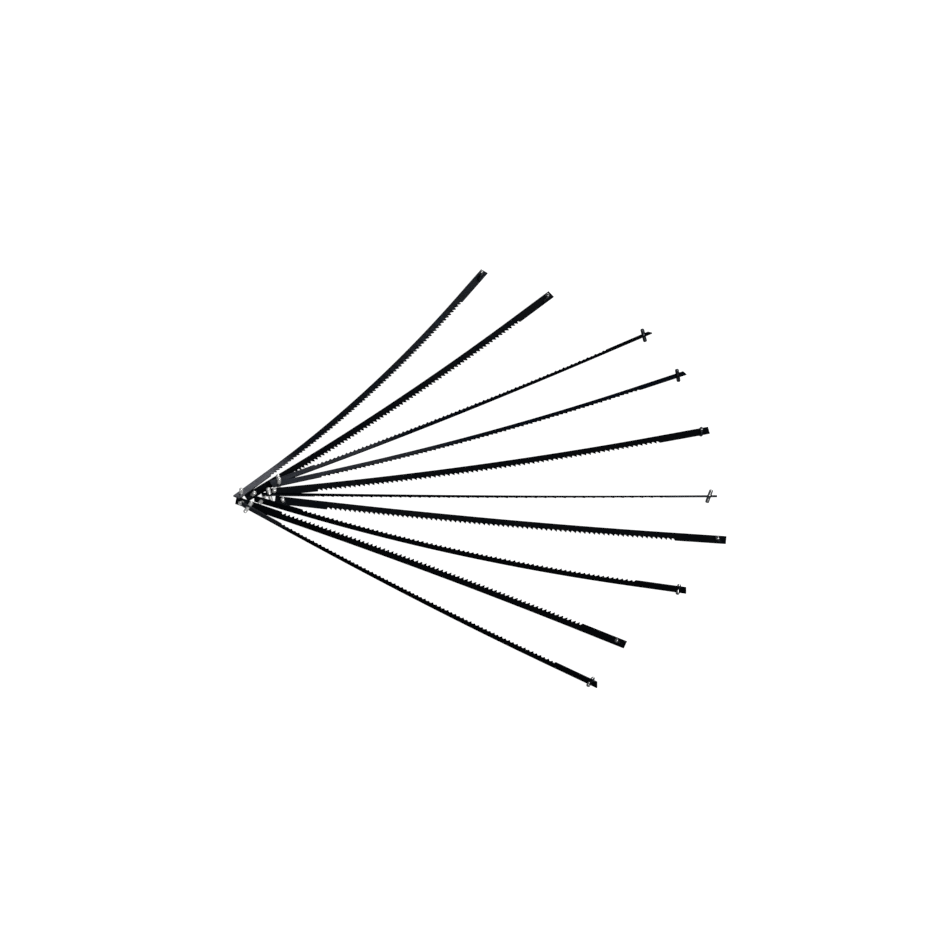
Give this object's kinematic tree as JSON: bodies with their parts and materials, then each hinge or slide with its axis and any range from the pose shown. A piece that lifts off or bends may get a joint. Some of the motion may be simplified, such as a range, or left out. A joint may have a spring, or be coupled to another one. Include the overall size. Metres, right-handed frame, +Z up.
{
  "type": "pin-end coping saw blades",
  "caption": "Loose coping saw blades fanned out from one gathered end: thin black toothed steel strips, each with a bright steel cross pin pressed through both ends.",
  "frame": {"origin": "centre of the bounding box's footprint, on the table that the blades lie on", "axes": "+X from the gathered ends towards the spread ends, +Y towards blade_01's side of the fan, +Z up from the table"},
  "size_m": [0.1852, 0.2559, 0.0082],
  "materials": {
    "black_oxide_steel": "hardened spring steel strip with a satin black oxide skin, faint lengthwise grind marks, a little brighter on the teeth",
    "bright_steel": "bright drawn steel wire, cut to length with broken edges"
  },
  "bodies": {
    "saw_blade_01": {"blade_01": "black_oxide_steel", "pin_01_near": "bright_steel", "pin_01_far": "bright_steel"},
    "saw_blade_02": {"blade_02": "black_oxide_steel", "pin_02_near": "bright_steel", "pin_02_far": "bright_steel"},
    "saw_blade_03": {"blade_03": "black_oxide_steel", "pin_03_near": "bright_steel", "pin_03_far": "bright_steel"},
    "saw_blade_04": {"blade_04": "black_oxide_steel", "pin_04_near": "bright_steel", "pin_04_far": "bright_steel"},
    "saw_blade_05": {"blade_05": "black_oxide_steel", "pin_05_near": "bright_steel", "pin_05_far": "bright_steel"},
    "saw_blade_06": {"blade_06": "black_oxide_steel", "pin_06_near": "bright_steel", "pin_06_far": "bright_steel"},
    "saw_blade_07": {"blade_07": "black_oxide_steel", "pin_07_near": "bright_steel", "pin_07_far": "bright_steel"},
    "saw_blade_08": {"blade_08": "black_oxide_steel", "pin_08_near": "bright_steel", "pin_08_far": "bright_steel"},
    "saw_blade_09": {"blade_09": "black_oxide_steel", "pin_09_near": "bright_steel", "pin_09_far": "bright_steel"},
    "saw_blade_10": {"blade_10": "black_oxide_steel", "pin_10_near": "bright_steel", "pin_10_far": "bright_steel"}
  },
  "joints": [
    {"name": "swing_01", "type": "hinge", "parent": "saw_blade_06", "child": "saw_blade_01", "pos_m": [-0.08956, -0.01374, 0.00497], "axis": [0, 0, 1], "range_deg": [-1.5, 4]},
    {"name": "swing_02", "type": "hinge", "parent": "saw_blade_06", "child": "saw_blade_02", "pos_m": [-0.08556, -0.01144, 0.00277], "axis": [0, 0, 1], "range_deg": [-1.5, 1.5]},
    {"name": "swing_03", "type": "hinge", "parent": "saw_blade_06", "child": "saw_blade_03", "pos_m": [-0.07566, -0.00414, 0.00387], "axis": [0, 0, 1], "range_deg": [-1.5, 2]},
    {"name": "swing_04", "type": "hinge", "parent": "saw_blade_06", "child": "saw_blade_04", "pos_m": [-0.07536, -0.00744, 0.00497], "axis": [0, 0, 1], "range_deg": [-2, 2]},
    {"name": "swing_05", "type": "hinge", "parent": "saw_blade_06", "child": "saw_blade_05", "pos_m": [-0.07736, -0.01044, 0.00337], "axis": [0, 0, 1], "range_deg": [-2, 2]},
    {"name": "swing_07", "type": "hinge", "parent": "saw_blade_06", "child": "saw_blade_07", "pos_m": [-0.07386, -0.01594, 0.00347], "axis": [0, 0, 1], "range_deg": [-2, 2]},
    {"name": "swing_08", "type": "hinge", "parent": "saw_blade_06", "child": "saw_blade_08", "pos_m": [-0.08186, -0.01594, 0.00347], "axis": [0, 0, 1], "range_deg": [-2, 2]},
    {"name": "swing_09", "type": "hinge", "parent": "saw_blade_06", "child": "saw_blade_09", "pos_m": [-0.08886, -0.01644, 0.00297], "axis": [0, 0, 1], "range_deg": [-2.5, 2]},
    {"name": "swing_10", "type": "hinge", "parent": "saw_blade_06", "child": "saw_blade_10", "pos_m": [-0.08686, -0.02144, 0.00447], "axis": [0, 0, 1], "range_deg": [-4, 2]}
  ]
}
